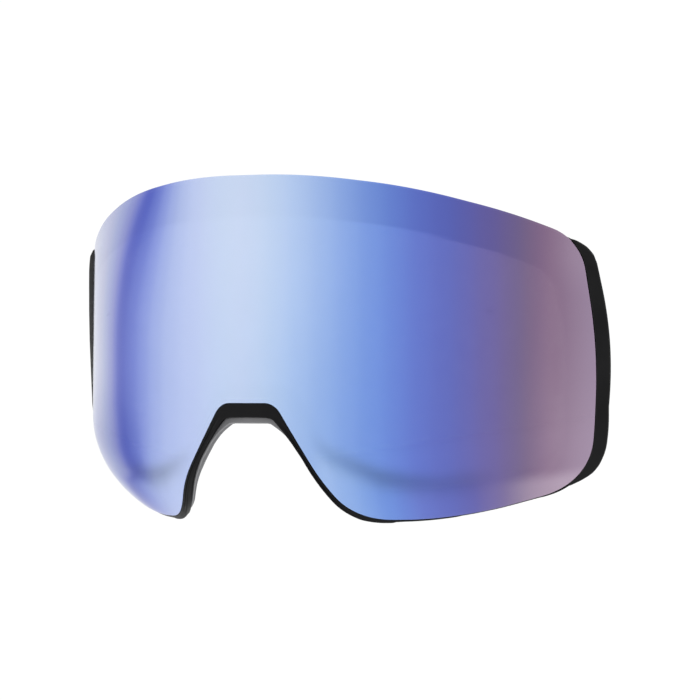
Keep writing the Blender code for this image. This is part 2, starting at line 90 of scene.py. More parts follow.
WING_FRONT = ((4.0, -0.5), (4.1, -1.1), (4.25, -1.25), (4.5, -1.25), (4.8, -1.2), (4.95, -1.0), (5.1, -0.6),
              (5.22, -0.25), (5.35, 0.05), (5.5, 0.2))

# Layers, as depths behind the lens's front face; the soft ones fill the gaps that the part keeps
LENS = (0.0, 1.3)
TAPE = (1.32, 2.48)
CARRIER = (2.5, 4.0)
RIM_FRONT = 0.2
SEAL_BACK = 3.3
GASKET = (1.35, 5.95)
INNER_LENS = (6.0, 6.8)
WING_PLATE = (7.2, 8.7)

# How far across the glue band each ring reaches, from 0 at the lens's edge to 1 at the clear view
TAPE_SPAN = (0.2, 0.475)
CARRIER_INNER = 0.45
GASKET_SPAN = (0.48, 1.0)
INNER_LENS_EDGE = 0.57

# Gaps and thicknesses
EDGE_GAP = 0.1
RIM_WALL = 0.5
CLEARANCE = 0.3
LEAST_LIP = 0.1
SEAL_GAP = 0.05
LENS_BEVEL = 0.35
PANEL_BEVEL = 0.25

# Magnets: name, u, v, depth of the seat and radius, each in a cup with a rounded rim and a thin wall
MAGNET_THICKNESS = 2.0
CUP_ROUNDING = 0.15
CUP_WALL = 0.3
MAGNETS = (
    ("brow", 42.0, 40.7, 4.2, 2.1),
    ("upper_temple", 93.0, 19.5, 9.0, 2.6),
    ("lower_temple", 93.0, -25.5, 9.5, 2.6),
    ("nose", 3.6, -14.4, 4.2, 1.8),
)
VENT_PLACE = (60.0, 31.2)
VENT_RADIUS = 2.2
VENT_THICKNESS = 1.0
VENT_RIM = 0.45

# Latch, in its own frame: x towards the temple, y towards the wearer, z along the pin
LATCH_U, LATCH_V = 96.2, -3.5
BRACKET_SEAT = 9.0
BRACKET_WIDTH = 6.0
BRACKET_PLATE = 1.2
LUG_INNER, LUG_OUTER = 9.0, 11.0
EAR_END = 16.0
SCREW_PLACE = 13.6
SCREW_BORE = 1.05
PIN_HEIGHT = 4.2
PIN_RADIUS = 0.7
PIN_BORE = 1.0
BARREL_RADIUS = 2.4
LEVER_BOTTOM, LEVER_TOP = -8.7, 4.6
ARM_FRONT, ARM_BACK = -1.0, 0.8
GRIP_GROOVES, GRIP_PITCH = 6, 0.85
SPRING_TURNS = 4
SPRING_RADIUS = 1.6
SPRING_WIRE = 0.3
SPRING_BOTTOM, SPRING_TOP = 5.3, 8.3

# Mesh density
PER_CORNER = 21
PER_EDGE = 15
LENS_RINGS = 42
PANEL_RINGS = 16
ARC_STEPS = 6
ROUND_SIDES = 64
WIRE_SIDES = 12
TURN_STEPS = 24
CORNER_STEPS = 5
RIM_STEPS = 4
BARREL_STEPS = 22

# Edges that turn by more than this many degrees are shown sharp
SHARP_ANGLE = 35.0

# Mirror coating: its colour across the lens, as (u, sRGB), from the left temple to the right.  It is the
# coating's own blue with a painted reflection of the studio in it, the pale band near the middle being a
# painted reflection of a soft box
SWEEP = (
    (-98, (200, 205, 230)), (-88, (192, 198, 228)), (-80, (182, 187, 222)), (-75, (168, 177, 219)),
    (-70, (151, 160, 215)), (-66, (132, 140, 209)), (-63, (104, 116, 204)), (-60, (80, 95, 196)),
    (-55, (92, 109, 204)), (-48, (124, 141, 221)), (-41, (153, 170, 233)), (-34, (173, 189, 239)),
    (-26, (186, 201, 244)), (-18, (193, 208, 246)), (-9, (197, 215, 247)), (-1, (196, 214, 246)),
    (7, (186, 209, 244)), (14, (173, 200, 243)), (21, (158, 188, 239)), (28, (142, 175, 235)),
    (35, (126, 160, 230)), (42, (114, 146, 224)), (49, (106, 129, 213)), (55, (103, 118, 202)),
    (61, (103, 111, 191)), (67, (110, 107, 177)), (73, (116, 105, 162)), (79, (122, 105, 144)),
    (85, (136, 110, 140)), (91, (147, 123, 149)), (98, (159, 139, 164)),
)
SWEEP_REACH = 98.0

# The crease above the lens's rolled lower edge, with a painted dark reflection along it: u, v of its middle,
# and how much that painted reflection darkens
CREASE = (
    (-75.0, -31.0, 0.0), (-58.0, -33.5, 0.04), (-49.0, -33.5, 0.22), (-42.0, -34.2, 0.32),
    (-34.0, -33.4, 0.3), (-27.0, -31.2, 0.17), (-20.0, -28.0, 0.0), (20.0, -24.0, 0.0),
    (27.0, -28.5, 0.15), (34.5, -31.5, 0.26), (41.0, -34.0, 0.32), (49.0, -35.5, 0.27),
    (57.0, -36.0, 0.19), (65.0, -35.0, 0.16), (73.0, -34.0, 0.03), (98.0, -31.0, 0.0),
)
CREASE_ABOVE, CREASE_BELOW = 1.8, 2.6
CREASE_STRENGTH = 1.15

# The fades below are spans of u or v, in mm, from where something starts to where it is full.

# The roll below the crease, which carries a painted reflection of the floor: its fades in height over the
# crease and in distance from the centreline, and how far the sweep of colour shifts and how much the painted
# reflection pales the coating there, as (u, value) pairs
ROLL_FADE, ROLL_SIDES = (0.5, -4.5), (20.0, 26.0)
ROLL_SHIFT = ((-75, 0.0), (-61, 1.0), (-50, 4.0), (-42, 5.0), (-30, 6.0), (-20, 0.0), (20, -8.0),
              (33, -6.5), (41, -3.5), (52, 0.0))
ROLL_REFLECTION_PALE = ((-98, 0.1), (-70, 0.0), (42, 0.0), (50, 0.04), (66, 0.0), (74, 0.1), (82, 0.38), (90, 0.52))

# How the bands of painted reflection on the left lean out towards the top, by LEAN at the height LEAN_TOP,
# and how they shift at the foot of the lens, as (v, shift) pairs
LEAN, LEAN_TOP, LEAN_FADE = 17.5, 40.0, (-10.0, -45.0)
FOOT_SHIFT = ((-36.0, 10.5), (-34.5, 9.5), (-32.0, 6.5), (-27.8, 3.6), (-15.0, 0.0))
FOOT_FADE = (-38.0, -50.0)

# How much darker the lens is over the foam border along its top edge, as (u, value) pairs, and how far
# either side of the clear view's edge that fades
MARGIN = ((-90, 0.07), (-55, 0.08), (-46, 0.05), (-41, 0.04), (-35, 0.06), (-28, 0.07), (-19, 0.01),
          (15, 0.01), (27, 0.06), (42, 0.16), (60, 0.2), (72, 0.2), (84, 0.02))
MARGIN_FADE = (0.0, 22.0)
VIEW_BLUR = 0.35

# The lower left corner: its fades in u and v, how much painted shade darkens it, and how lilac it is at
# grazing angles
CORNER_U, CORNER_V = (-30.0, -58.0), (-2.0, -30.0)
CORNER_SHADE, CORNER_LILAC = 0.11, 0.45

# Where a painted reflection pales the coating at the right temple: how much, on what share of the lens,
# and its fades in u and v
TEMPLE_REFLECTION_PALE = (
    (0.08, "above_roll", (72.0, 92.0), (8.0, -20.0)),
    (0.07, "above_roll", (80.0, 94.0), (-5.0, -28.0)),
    (0.03, "clear_view", (79.0, 86.0), (30.0, 5.0)),
    (0.1, "anywhere", (84.0, 93.0), (12.0, 26.0)),
)

# The painted highlight up the middle: how strong, its place and breadth in u, and its fade in v
MIDDLE_HIGHLIGHT, MIDDLE_HIGHLIGHT_U, MIDDLE_HIGHLIGHT_BREADTH, MIDDLE_HIGHLIGHT_V = 0.25, 2.0, 18.0, (-25.0, 35.0)

# How much smoother a moulded edge gets where it is worn
WORN_SMOOTHER = 0.12

# Tints that the coating is multiplied by, for the crease's painted dark reflection and the margin, and
# colours that it goes towards, for painted reflection, painted highlights and the lilac gloss, as sRGB
CREASE_REFLECTION_TINT = (101, 101, 0)
MARGIN_TINT = (0, 80, 173)
REFLECTION_PALE_COLOUR = (214, 196, 214)
HIGHLIGHT_COLOUR = (236, 243, 255)
EDGE_HIGHLIGHT_COLOUR = (250, 250, 255)
LILAC_COLOUR = (190, 196, 236)


# -------- outline and surface

def circle(radius, count=ROUND_SIDES, start=0.0, sweep=math.tau):
    """Points round a circle, or along an arc with both of its ends."""
    steps = count if sweep == math.tau else count - 1
    angles = start + sweep * np.arange(count) / steps
    return np.stack((radius * np.cos(angles), radius * np.sin(angles)), axis=1)


def rounded(corners):
    """Points along a line of corners, each rounded by an arc that leaves part of its edges straight."""
    places = [np.array(c[:2]) for c in corners]
    last = len(places) - 1
    lengths = [np.linalg.norm(places[i + 1] - places[i]) for i in range(last)]
    points = [places[0]]
    for i in range(1, last):
        back = (places[i - 1] - places[i]) / lengths[i - 1]
        ahead = (places[i + 1] - places[i]) / lengths[i]
        half_angle = 0.5 * math.acos(np.clip(back @ ahead, -1.0, 1.0))
        room_back = lengths[i - 1] * ARC_SHARE * (2 if i == 1 else 1)
        room_ahead = lengths[i] * ARC_SHARE * (2 if i == last - 1 else 1)
        tangent = min(corners[i][2] / math.tan(half_angle), room_back, room_ahead)
        radius = tangent * math.tan(half_angle)
        bisector = (back + ahead) / np.linalg.norm(back + ahead)
        centre = places[i] + bisector * radius / math.sin(half_angle)
        start = places[i] + back * tangent - centre
        end = places[i] + ahead * tangent - centre
        sweep = math.atan2(start[0] * end[1] - start[1] * end[0], start @ end)
        arc = list(centre + circle(radius, PER_CORNER, math.atan2(start[1], start[0]), sweep))
        points += straight(points[-1], arc[0]) + arc
    points += straight(points[-1], places[last]) + [places[last]]
    return np.array(points)


def straight(start, end):
    """Points strictly between two places."""
    return [start + (end - start) * (k + 1) / (PER_EDGE + 1) for k in range(PER_EDGE)]


def inset(corners, widths):
    """The corners moved in from the lens's edge, each edge by its own width."""
    places = [np.array(c[:2]) for c in corners]
    lines = []
    for i, width in enumerate(widths):
        along = places[i + 1] - places[i]
        along = along / np.linalg.norm(along)
        inward = np.array((along[1], -along[0]))
        lines.append((places[i] + inward * width, along))
    moved = [(0.0, lines[0][0][1], 0.0)]
    for i in range(1, len(lines)):
        (a, da), (b, db) = lines[i - 1], lines[i]
        turn = da[0] * db[1] - da[1] * db[0]
        step = ((b - a)[0] * db[1] - (b - a)[1] * db[0]) / turn
        place = a + da * step
        width = 0.5 * (widths[i - 1] + widths[i])
        radius = corners[i][2] + (width if turn > 0.0 else -width)
        moved.append((place[0], place[1], max(radius, VIEW_LEAST_RADIUS)))
    moved.append((0.0, lines[-1][0][1], 0.0))
    return moved


def corner_places():
    """How many corners have been passed at each point of a half outline; corner 4 has 3.75 to 4.25."""
    known_at, known = [0], [0.0]
    for corner in range(1, len(CORNERS) - 1):
        start = 1 + PER_EDGE + (corner - 1) * (PER_CORNER + PER_EDGE)
        known_at += [start, start + PER_CORNER - 1]
        known += [corner - 0.25, corner + 0.25]
    last = known_at[-1] + PER_EDGE + 1
    return np.interp(np.arange(last + 1), known_at + [last], known + [len(CORNERS) - 1.0])


def value_along(pairs):
    """A value at each point of a half outline, from (place, value) pairs."""
    places, values = zip(*pairs)
    return np.interp(corner_places(), places, values)


def blend(first, second, share):
    """A value part of the way from a first to a second."""
    return first + (second - first) * share


def mirrored(half, ring=True):
    """A closed loop from its right half, which starts and ends on the centreline, or an open line from a
    half that only ends there."""
    flip = np.array((-1.0, 1.0)) if half.ndim == 2 else 1.0
    other = half[-2:0:-1] if ring else half[-2::-1]
    return np.concatenate((half, other * flip))


def lens_origin():
    """Where the front of the lens's centreline is in space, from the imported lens's own box."""
    low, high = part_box("outer_lens")
    return np.array((0.0, low.y, high.z - CORNERS[0][1] * MM))


ORIGIN = lens_origin()


def wrap(flat, depth):
    """Unrolled points (u, v), in mm, at a depth behind the lens's front face, as metres in space."""
    u, v = np.asarray(flat, float).T
    start = ROLL_START + ROLL_CLIMB * np.abs(u)
    bend = np.clip((start - v) / ROLL_RADIUS, 0.0, None)
    height = np.maximum(v, start) - ROLL_RADIUS * np.sin(bend) + depth * np.sin(bend)
    radial = LENS_RADIUS - ROLL_RADIUS * (1.0 - np.cos(bend)) - depth * np.cos(bend)
    angle = u / LENS_RADIUS
    across = radial * np.sin(angle)
    back = LENS_RADIUS - radial * np.cos(angle)
    return np.stack((across, back, height), axis=1) * MM + ORIGIN


def seat_frame(u, v, depth):
    """A frame on the lens: x along its width, y towards the wearer, z up its height."""
    angle = u / LENS_RADIUS
    bend = max((ROLL_START + ROLL_CLIMB * abs(u) - v) / ROLL_RADIUS, 0.0)
    x_axis = Vector((math.cos(angle), math.sin(angle), 0.0))
    out = Vector((math.sin(angle), -math.cos(angle), 0.0))
    z_axis = Vector((0.0, 0.0, math.cos(bend))) + out * math.sin(bend)
    seat = Matrix((x_axis, z_axis.cross(x_axis), z_axis)).transposed().to_4x4()
    seat.translation = Vector(wrap(((u, v),), depth)[0])
    return seat


HALF_EDGE = rounded(CORNERS)
VIEW_CORNERS = inset(CORNERS, GLUE_BAND)
temple_u, temple_v, temple_radius = VIEW_CORNERS[UPPER_TEMPLE]
VIEW_CORNERS[UPPER_TEMPLE] = (temple_u, temple_v, temple_radius + VIEW_EASE)
HALF_VIEW = rounded(VIEW_CORNERS)
HALF_BAND = np.linalg.norm(HALF_EDGE - HALF_VIEW, axis=1)
HALF_OUTWARD = (HALF_EDGE - HALF_VIEW) / HALF_BAND[:, None]


# -------- meshes

def eased(corners, steps=ARC_STEPS):
    """A closed section with its corners rounded, from (across, depth, radius) at each corner, whose values
    may differ along the outline.  Gives its lines and how near each is to the middle of a corner."""
    count = max(np.size(value) for corner in corners for value in corner[:2])
    places = [np.stack([np.broadcast_to(value, count) for value in corner[:2]], axis=1) for corner in corners]
    lines, nearness = [], []
    for k, place in enumerate(places):
        radius = corners[k][2]
        if not radius:
            lines.append(place)
            nearness.append(0.0)
            continue
        back = places[k - 1] - place
        ahead = places[(k + 1) % len(places)] - place
        back_length = np.linalg.norm(back, axis=1)[:, None]
        ahead_length = np.linalg.norm(ahead, axis=1)[:, None]
        reach = np.minimum(radius, ARC_SHARE * np.minimum(back_length, ahead_length))
        for t in np.linspace(0.0, 1.0, steps):
            pull = back / back_length * (1.0 - t) ** 2 + ahead / ahead_length * t * t
            lines.append(place + pull * reach)
            nearness.append(1.0 - abs(2.0 * t - 1.0))
    return lines, nearness


def skin(name, loops, ring=True, tube=True, bands=None, marks=None):
    """A closed mesh over loops of points, each joined to the next, with one material for each band between
    two loops and one value of each mark for each point."""
    count = len(loops[0])
    rows = len(loops)
    faces = []
    picks = []
    for k in range(rows if tube else rows - 1):
        here, there = k * count, (k + 1) % rows * count
        for i in range(count if ring else count - 1):
            j = (i + 1) % count
            faces.append((here + i, here + j, there + j, there + i))
            picks.append(bands[k] if bands else 0)
    if not ring:
        faces.append([k * count for k in range(rows)])
        faces.append([k * count + count - 1 for k in reversed(range(rows))])
        picks += [0, 0]
    mesh = bpy.data.meshes.new(name)
    mesh.from_pydata(np.concatenate(loops).tolist(), [], faces)
    mesh.polygons.foreach_set("material_index", picks)
    for mark, values in (marks or {}).items():
        layer = mesh.attributes.new(mark, "FLOAT", "POINT")
        layer.data.foreach_set("value", np.concatenate(values).astype(np.float32))
    return tidied(mesh)


def tidied(mesh):
    """The mesh with points that coincide joined and its faces all turned outwards."""
    bm = bmesh.new()
    bm.from_mesh(mesh)
    bmesh.ops.remove_doubles(bm, verts=bm.verts, dist=1e-7)
    bmesh.ops.recalc_face_normals(bm, faces=bm.faces)
    bm.to_mesh(mesh)
    bm.free()
    return mesh


def swept(name, edge, outward, corners, ring=True, side=1):
    """A section carried along an outline; marks how worn each point is."""
    lines, nearness = eased(corners)
    flip = np.array((side, 1.0))
    loops = [wrap((edge + outward * line[:, :1]) * flip, line[:, 1]) for line in lines]
    wear = [np.full(len(edge), near) for near in nearness]
    return skin(name, loops, ring=ring, marks={"wear": wear})


def grown(outline, amount):
    """A closed outline moved outwards by a small amount, or inwards if it is negative."""
    ahead = np.roll(outline, -1, axis=0) - outline
    ahead = ahead / np.linalg.norm(ahead, axis=1)[:, None]
    behind = np.roll(ahead, 1, axis=0)
    tangent = ahead + behind
    tangent = tangent / np.linalg.norm(tangent, axis=1)[:, None]
    lean = np.maximum(np.sum(tangent * ahead, axis=1), 0.5)[:, None]
    return outline + np.stack((tangent[:, 1], -tangent[:, 0]), axis=1) * amount / lean


def prism(name, outline, low, high, bevel, hole_radius=0.0):
    """An anticlockwise outline in x and y, in mm, raised along z with rounded rims, and a hole if asked."""
    bm = bmesh.new()
    arc = np.linspace(0.0, math.pi / 2, RIM_STEPS)
    rims = [(bevel * (1.0 - math.sin(a)), bevel * (1.0 - math.cos(a))) for a in arc]
    levels = [(pull, low + rise) for pull, rise in rims]
    levels += [(pull, high - rise) for pull, rise in reversed(rims)]
    walls = [[(grown(outline, -pull), z) for pull, z in levels]]
    if hole_radius:
        walls.append([(circle(hole_radius + pull), z) for pull, z in levels])
    ends = ([], [])
    for wall in walls:
        loops = [[bm.verts.new((x * MM, y * MM, z * MM)) for x, y in flat] for flat, z in wall]
        for first, second in zip(loops, loops[1:]):
            for i in range(len(first)):
                bm.faces.new((first[i - 1], first[i], second[i], second[i - 1]))
        ends[0].append(loops[0])
        ends[1].append(loops[-1])
    for loops in ends:
        if len(loops) == 1:
            bm.faces.new(loops[0])
            continue
        rim_edges = [bm.edges.get((loop[i - 1], loop[i])) for loop in loops for i in range(len(loop))]
        bmesh.ops.triangle_fill(bm, edges=rim_edges, use_beauty=True)
    mesh = bpy.data.meshes.new(name)
    bm.to_mesh(mesh)
    bm.free()
    return tidied(mesh)


def turned(name, profile, bands=None, sides=ROUND_SIDES):
    """A solid of revolution about z from (radius, z) pairs that start and end on the axis."""
    loops = [np.column_stack((circle(radius, sides), np.full(sides, z))) * MM for radius, z in profile]
    return skin(name, loops, tube=False, bands=bands)


def tube(name, path, radius):
    """A round wire along points in mm, with flat ends."""
    path = [Vector(point) for point in path]
    rim = circle(1.0, WIRE_SIDES)
    loops = []
    for i, point in enumerate(path):
        along = (path[min(i + 1, len(path) - 1)] - path[max(i - 1, 0)]).normalized()
        out = Vector((0.0, 0.0, 1.0)).cross(along).normalized()
        up = along.cross(out)
        loops.append(np.array([(point + (out * x + up * y) * radius) * MM for x, y in rim]))
    first, last = (np.repeat(loop.mean(0)[None], WIRE_SIDES, 0) for loop in (loops[0], loops[-1]))
    return skin(name, [first] + loops + [last], tube=False)


def turned_corner(start, corner, end):
    """A rounded corner of a turned profile, as points from one place to another."""
    start, corner, end = (np.array(place) for place in (start, corner, end))
    shares = np.linspace(0.0, 1.0, CORNER_STEPS)
    return [tuple((1 - t) ** 2 * start + 2 * t * (1 - t) * corner + t * t * end) for t in shares]


def mirror_mesh(mesh, side):
    """Flip a mesh across its own x for the left-hand copy of a piece."""
    if side < 0:
        mesh.transform(Matrix.Diagonal((-1.0, 1.0, 1.0, 1.0)))
        mesh.flip_normals()
    return mesh


def add_object(name, data):
    """A new object in the scene."""
    made = bpy.data.objects.new(name, data)
    bpy.context.scene.collection.objects.link(made)
    return made


def cut(mesh, cutters):
    """The mesh with other solids taken out of it."""
    target = add_object("cut_target", mesh)
    helpers = [add_object(f"cutter_{k}", cutter) for k, cutter in enumerate(cutters)]
    for helper in helpers:
        boolean = target.modifiers.new(helper.name, "BOOLEAN")
        boolean.operation = "DIFFERENCE"
        boolean.solver = "EXACT"
        boolean.object = helper
    graph = bpy.context.evaluated_depsgraph_get()
    result = bpy.data.meshes.new_from_object(target.evaluated_get(graph))
    for helper in [target] + helpers:
        bpy.data.objects.remove(helper, do_unlink=True)
    return result


def settle(name, mesh, materials, node, body="root", place=None):
    """Show a mesh in place of a CAD node, riding on a body, with materials by their short names."""
    mesh.materials.clear()
    for material in materials:
        mesh.materials.append(MATERIALS[material])
    mesh.shade_smooth()
    mesh.set_sharp_from_angle(angle=math.radians(SHARP_ANGLE))
    piece = add_object(name, mesh)
    if place is not None:
        piece.matrix_world = place
    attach(piece, body)
    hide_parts(node)


# -------- materials

def linear(colour):
    """An sRGB colour from 0 to 255 as linear light."""
    shares = np.array(colour, float) / 255.0
    light = np.where(shares <= 0.04045, shares / 12.92, ((shares + 0.055) / 1.055) ** 2.4)
    return (*(float(x) for x in light), 1.0)


def new_material(name, sockets):
    """A material with constants set on its shader's sockets."""
    material = bpy.data.materials.new(name)
    material.use_nodes = True
    for socket, value in sockets.items():
        material.node_tree.nodes["Principled BSDF"].inputs[socket].default_value = value
    return material


def add_node(material, kind, inputs, **settings):
    """A node with its settings, and with a value or a link for each socket named or counted in inputs."""
    node = material.node_tree.nodes.new(kind)
    for key, value in settings.items():
        setattr(node, key, value)
    for socket, value in inputs.items():
        if isinstance(value, bpy.types.NodeSocket):
            material.node_tree.links.new(value, node.inputs[socket])
        else:
            node.inputs[socket].default_value = value
    return node


def dressed(material, **outputs):
    """The material with outputs linked to its shader's sockets, such as base_color to Base Color."""
    shader = material.node_tree.nodes["Principled BSDF"]
    for socket, output in outputs.items():
        material.node_tree.links.new(output, shader.inputs[socket.replace("_", " ").title()])
    return material


def add_ramp(material, value, stops, interpolation="LINEAR"):
    """A colour ramp from (place, linear colour) stops."""
    node = add_node(material, "ShaderNodeValToRGB", {"Fac": value})
    ramp = node.color_ramp
    ramp.interpolation = interpolation
    ramp.elements[0].position, ramp.elements[-1].position = stops[0][0], stops[-1][0]
    ramp.elements[0].color, ramp.elements[-1].color = stops[0][1], stops[-1][1]
    for place, colour in stops[1:-1]:
        ramp.elements.new(place).color = colour
    return node.outputs["Color"]


def add_mix(material, share, first, second, blend_type="MIX"):
    """A mix of two colours; each may be a socket or a colour."""
    sockets = {0: share, 6: first, 7: second}
    return add_node(material, "ShaderNodeMix", sockets, data_type="RGBA", blend_type=blend_type).outputs[2]


def add_maths(material, operation, *values):
    """A sum, product or other calculation of up to three values."""
    return add_node(material, "ShaderNodeMath", dict(enumerate(values)), operation=operation).outputs[0]


def add_place(material):
    """The place in the piece's own space."""
    return add_node(material, "ShaderNodeTexCoord", {}).outputs["Object"]


def add_noise(material, scale, detail=3.0, stretch=None, roughness=0.5):
    """Noise in the piece's own space, where scale counts features per metre."""
    place = add_place(material)
    if stretch:
        place = add_node(material, "ShaderNodeMapping", {"Vector": place, "Scale": stretch}).outputs[0]
    sockets = {"Vector": place, "Scale": scale, "Detail": detail, "Roughness": roughness}
    return add_node(material, "ShaderNodeTexNoise", sockets).outputs["Fac"]


def add_range(material, value, low, high):
    """The middle of a noise's range, 0.3 to 0.7, spread from low to high."""
    sockets = {"Value": value, "From Min": 0.3, "From Max": 0.7, "To Min": low, "To Max": high}
    return add_node(material, "ShaderNodeMapRange", sockets).outputs["Result"]


def add_bump(material, height, strength, distance):
    """Bumps of a depth in mm from a texture."""
    sockets = {"Height": height, "Strength": strength, "Distance": distance * MM}
    return add_node(material, "ShaderNodeBump", sockets).outputs["Normal"]


def add_mark(material, name):
    """A value that the mesh holds at each of its points."""
    return add_node(material, "ShaderNodeAttribute", {}, attribute_name=name).outputs["Fac"]


def two_tone(material, value, dark, light):
    """A ramp from a dark to a light sRGB colour over the middle of a noise's range."""
    return add_ramp(material, value, ((0.3, linear(dark)), (0.7, linear(light))))


def moulded(name, dark, light, worn, roughness, grain, grain_depth, sockets):
    """Moulded plastic or rubber: mottled colour, spark-eroded grain and edges rubbed lighter and smoother."""
    material = new_material(name, sockets)
    colour = two_tone(material, add_noise(material, 90.0, 4.0), dark, light)
    wear = add_mark(material, "wear")
    rub = add_range(material, add_noise(material, 400.0, 2.0), 0.55, 1.0)
    colour = add_mix(material, add_maths(material, "MULTIPLY", wear, rub), colour, linear(worn))
    rough = add_range(material, add_noise(material, 700.0, 2.0), *roughness)
    rough = add_maths(material, "MULTIPLY_ADD", wear, -WORN_SMOOTHER, rough)
    texture = add_noise(material, grain, 2.0, roughness=0.6)
    bumps = add_bump(material, texture, 0.6, grain_depth)
    return dressed(material, base_color=colour, roughness=rough, normal=bumps)


def metal(name, dark, light, roughness, stretch):
    """Plated metal with faint clouding and fine scratches, drawn out by how much they are stretched."""
    material = new_material(name, {"Metallic": 1.0})
    colour = two_tone(material, add_noise(material, 500.0, 4.0), dark, light)
    scratches = add_noise(material, 900.0, 3.0, stretch, 0.7)
    rough = add_range(material, scratches, *roughness)
    bumps = add_bump(material, scratches, 0.35, 0.02)
    return dressed(material, base_color=colour, roughness=rough, normal=bumps)


def foam_material():
    """Open-cell foam: pits between cell walls, and uneven grey."""
    material = new_material("spacer_foam", {"Roughness": 0.95, "Specular IOR Level": 0.2})
    sockets = {"Vector": add_place(material), "Scale": 1500.0}
    cells = add_node(material, "ShaderNodeTexVoronoi", sockets).outputs["Distance"]
    colour = add_ramp(material, cells, ((0.1, linear((30, 30, 32))), (0.6, linear((62, 62, 66)))))
    uneven = add_range(material, add_noise(material, 200.0, 3.0), 0.75, 1.15)
    colour = add_mix(material, 1.0, colour, uneven, "MULTIPLY")
    return dressed(material, base_color=colour, normal=add_bump(material, cells, 0.9, 0.35))


def filter_material():
    """A white woven membrane."""
    material = new_material("breather_membrane", {"Roughness": 0.85, "Sheen Weight": 0.2})
    sockets = {"Vector": add_place(material), "Scale": 900.0, "Distortion": 0.4}
    threads = [add_node(material, "ShaderNodeTexWave", sockets, bands_direction=direction).outputs["Fac"]
               for direction in ("X", "Z")]
    weave = add_maths(material, "MAXIMUM", *threads)
    colour = add_ramp(material, weave, ((0.2, linear((150, 150, 146))), (0.9, linear((232, 232, 228)))))
    return dressed(material, base_color=colour, normal=add_bump(material, weave, 0.8, 0.08))


def tinted_material(name, deep, pale, roughness, sockets):
    """Clear tinted polycarbonate with a faint haze."""
    material = new_material(name, sockets)
    haze = two_tone(material, add_noise(material, 45.0, 4.0), deep, pale)
    rough = add_range(material, add_noise(material, 130.0, 3.0), *roughness)
    return dressed(material, base_color=haze, roughness=rough)


def sweep_share(place):
    """Where a place along the lens is on the ramp of the sweep, from 0 to 1."""
    return 0.5 + 0.5 * place / SWEEP_REACH


def mirror_material(name, edge_highlight, sockets):
    """The mirror coating: a sweep of colour along the lens, with a painted reflection in it, changed by the
    marks on its mesh, which add painted shade, painted reflections and painted highlights.
    """
    material = new_material(name, sockets)
    stops = [(sweep_share(u), linear(colour)) for u, colour in SWEEP]
    # The sweep holds a painted reflection; the marks add painted shade, painted reflection and a painted
    # highlight
    colour = add_ramp(material, add_mark(material, "sweep"), stops, "CARDINAL")
    colour = add_mix(material, 1.0, colour, add_mark(material, "shade"), "MULTIPLY")
    for mark, tint, blend_type in (("crease", CREASE_REFLECTION_TINT, "MULTIPLY"), ("margin", MARGIN_TINT, "MULTIPLY"),
                                   ("pale", REFLECTION_PALE_COLOUR, "MIX"), ("painted_highlight", HIGHLIGHT_COLOUR, "MIX")):
        colour = add_mix(material, add_mark(material, mark), colour, linear(tint), blend_type)
    # A painted highlight along the polished edge, mixed towards near white
    if edge_highlight:
        colour = add_mix(material, edge_highlight, colour, linear(EDGE_HIGHLIGHT_COLOUR))
    cloud = add_range(material, add_noise(material, 30.0, 3.0), 0.985, 1.01)
    colour = add_mix(material, 1.0, colour, cloud, "MULTIPLY")
    grazing = add_mix(material, add_mark(material, "lilac"), linear((255, 255, 255)), linear(LILAC_COLOUR))
    smudge = add_range(material, add_noise(material, 55.0, 4.0, roughness=0.6), 0.09, 0.13)
    return dressed(material, base_color=colour, specular_tint=grazing, roughness=smudge)


def make_materials():
    """Every material, by a short name."""
    made = {
        "mirror": mirror_material("blue_mirror_coating", 0.0, {"Metallic": 1.0, "Alpha": 0.9}),
        # The polished edge takes a painted highlight, 0.35 of the way towards near white
        "mirror_edge": mirror_material("polished_mirror_edge", 0.35, {"Metallic": 0.9}),
        "foam": foam_material(),
        "filter": filter_material(),
    }
    for key, name, deep, pale, roughness, alpha in (
        ("rear_tint", "plum_lens_tint", (84, 52, 88), (96, 60, 98), (0.04, 0.08), 0.35),
        ("clear", "clear_inner_tint", (205, 198, 212), (214, 208, 220), (0.04, 0.09), 0.2),
        ("clear_edge", "frosted_panel_edge", (150, 145, 160), (170, 165, 178), (0.3, 0.45), 0.8),
    ):
        made[key] = tinted_material(name, deep, pale, roughness, {"Alpha": alpha})
    soft = {"Subsurface Weight": 0.1, "Subsurface Radius": (0.002, 0.002, 0.002)}
    for key, name, dark, light, worn, roughness, grain, depth, specular, extra in (
        ("carrier", "satin_black_carrier", (14, 14, 15), (20, 20, 21), (30, 30, 31),
         (0.36, 0.46), 2600.0, 0.03, 0.08, {}),
        ("wing", "soft_black_wing", (17, 17, 18), (25, 25, 26), (52, 52, 53),
         (0.44, 0.56), 2200.0, 0.04, 0.1, {}),
        ("lip", "grey_nose_lip", (104, 104, 106), (122, 122, 124), (156, 156, 158),
         (0.5, 0.62), 1800.0, 0.03, 0.3, soft),
        ("tape", "black_bond_tape", (22, 22, 23), (34, 34, 35), (40, 40, 41),
         (0.8, 0.9), 1500.0, 0.08, 0.2, {}),
        ("bracket", "blasted_black_bracket", (26, 26, 27), (38, 38, 39), (90, 90, 92),
         (0.42, 0.55), 4200.0, 0.05, 0.35, {"Metallic": 0.3}),
        ("lever", "grey_lever_plastic", (70, 70, 73), (84, 84, 87), (120, 120, 122),
         (0.42, 0.52), 3000.0, 0.04, 0.3, {}),
    ):
        sockets = {"Specular IOR Level": specular, **extra}
        made[key] = moulded(name, dark, light, worn, roughness, grain, depth, sockets)
    made["nickel"] = metal("nickel_plate", (196, 196, 192), (222, 221, 216), (0.18, 0.34), (1.0, 1.0, 1.0))
    made["steel"] = metal("zinc_plated_steel", (168, 170, 172), (206, 207, 208), (0.2, 0.36), (8.0, 8.0, 0.6))
    return made


MATERIALS = make_materials()


# -------- lenses

